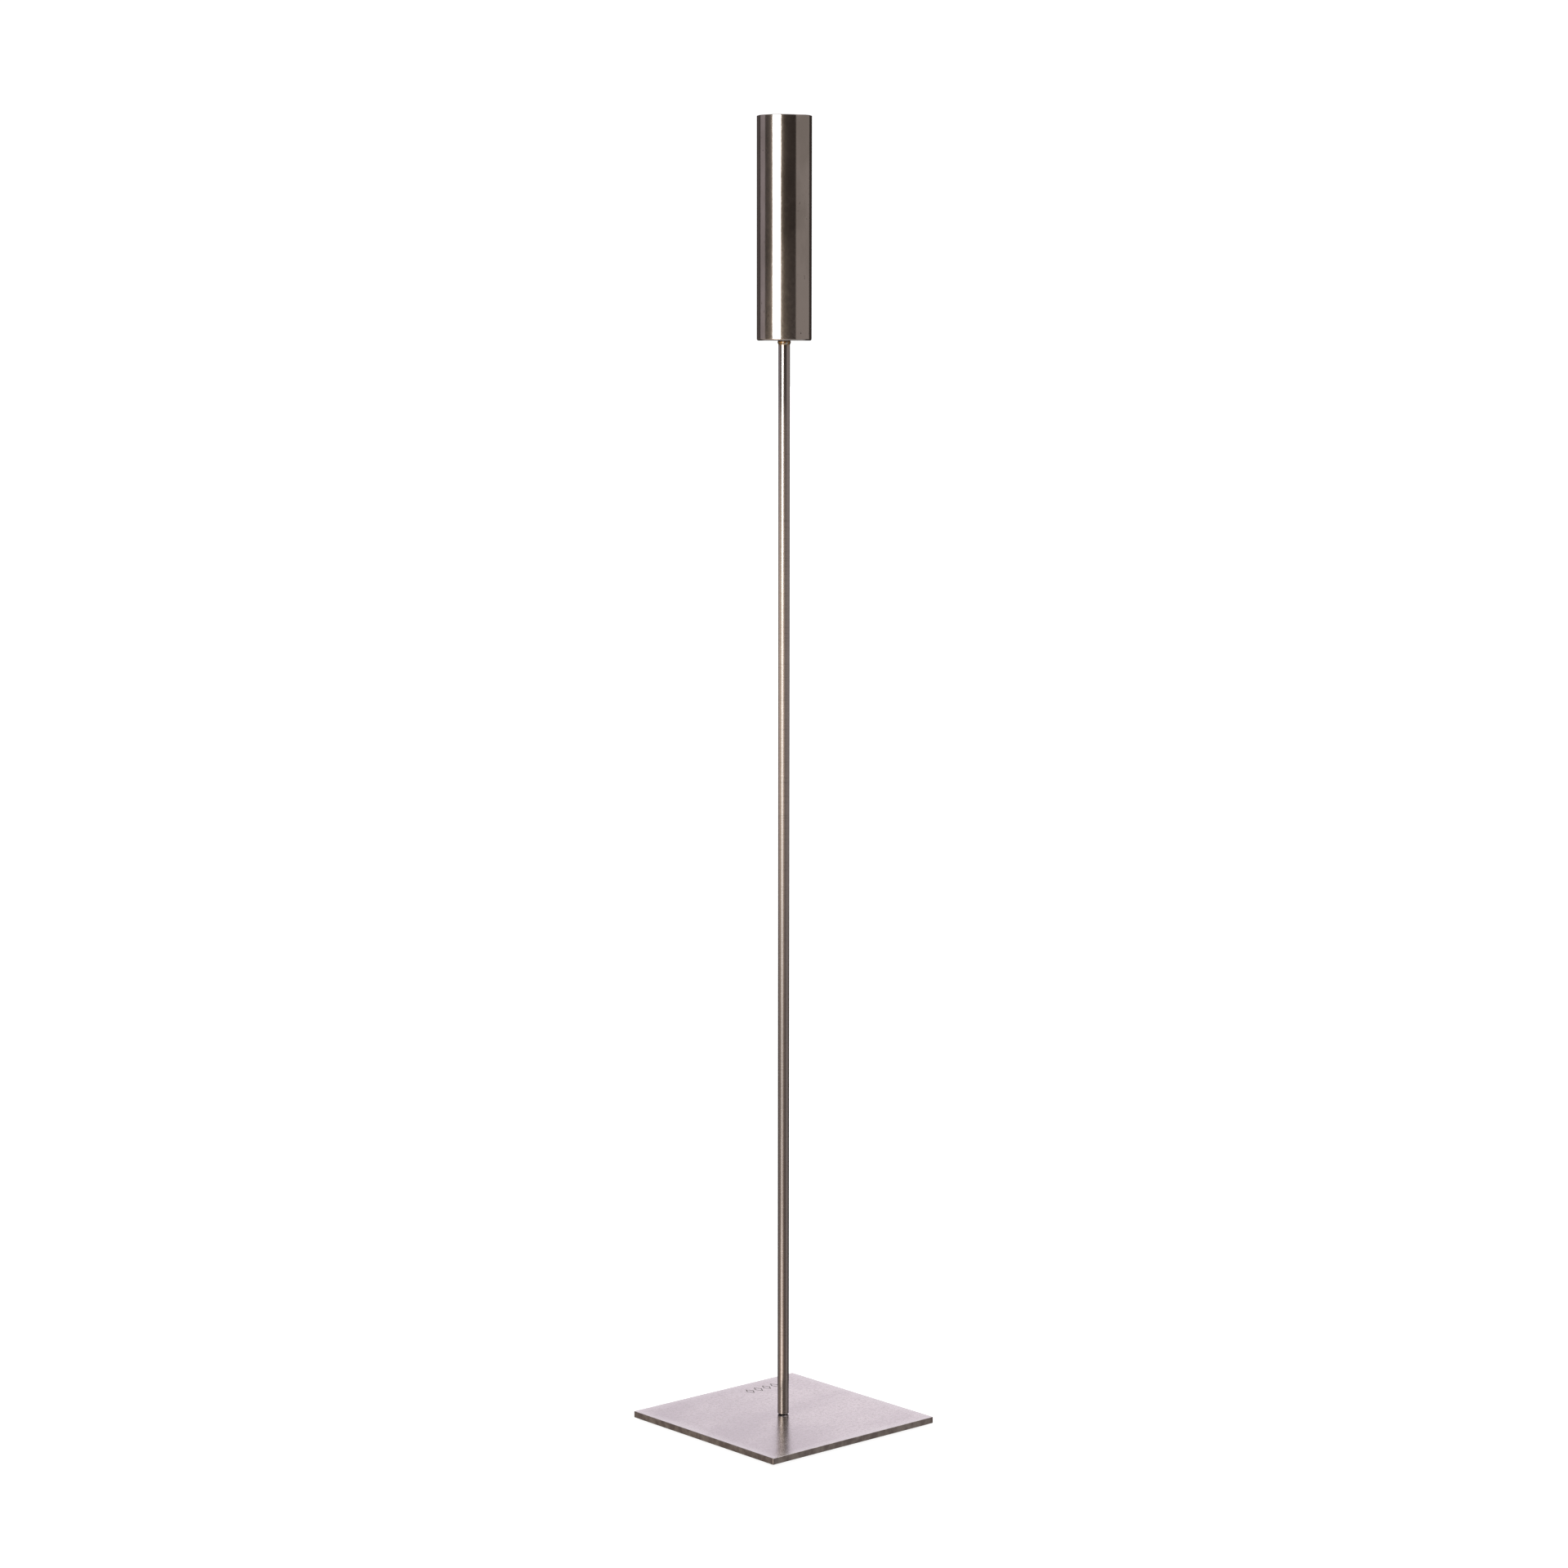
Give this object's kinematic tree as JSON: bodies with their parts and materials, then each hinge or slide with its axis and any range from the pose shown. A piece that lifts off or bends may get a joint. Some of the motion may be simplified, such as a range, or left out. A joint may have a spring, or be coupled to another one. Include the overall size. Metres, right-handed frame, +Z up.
{
  "type": "candlestick",
  "caption": "Tall silver steel candlestick: a square base plate, a thin round stem and a tube-shaped cup for a dinner candle.",
  "frame": {"origin": "centre of the plane that the rubber feet rest on, straight under the stem", "axes": "+Z up along the stem, +Y towards the plate's edge that the engraved mark is next to, +X to the right as the mark is read"},
  "size_m": [0.1, 0.1, 0.6075],
  "materials": {
    "plate_steel": "satin, fine straight grain",
    "foot_rubber": "matte",
    "screw_steel": "turned",
    "stem_steel": "polished, with fine scratches",
    "weld_metal": "straw and brown heat tint",
    "cup_steel": "polished, with fine crossed scratches",
    "seat_steel": "pressed, satin"
  },
  "bodies": {
    "root": {"base_plate": "plate_steel", "rubber_feet": "foot_rubber", "base_screw": "screw_steel", "stem": "stem_steel", "weld_bead": "weld_metal", "cup_sleeve": "cup_steel", "cup_floor": "cup_steel", "candle_seat": "seat_steel"}
  },
  "joints": []
}
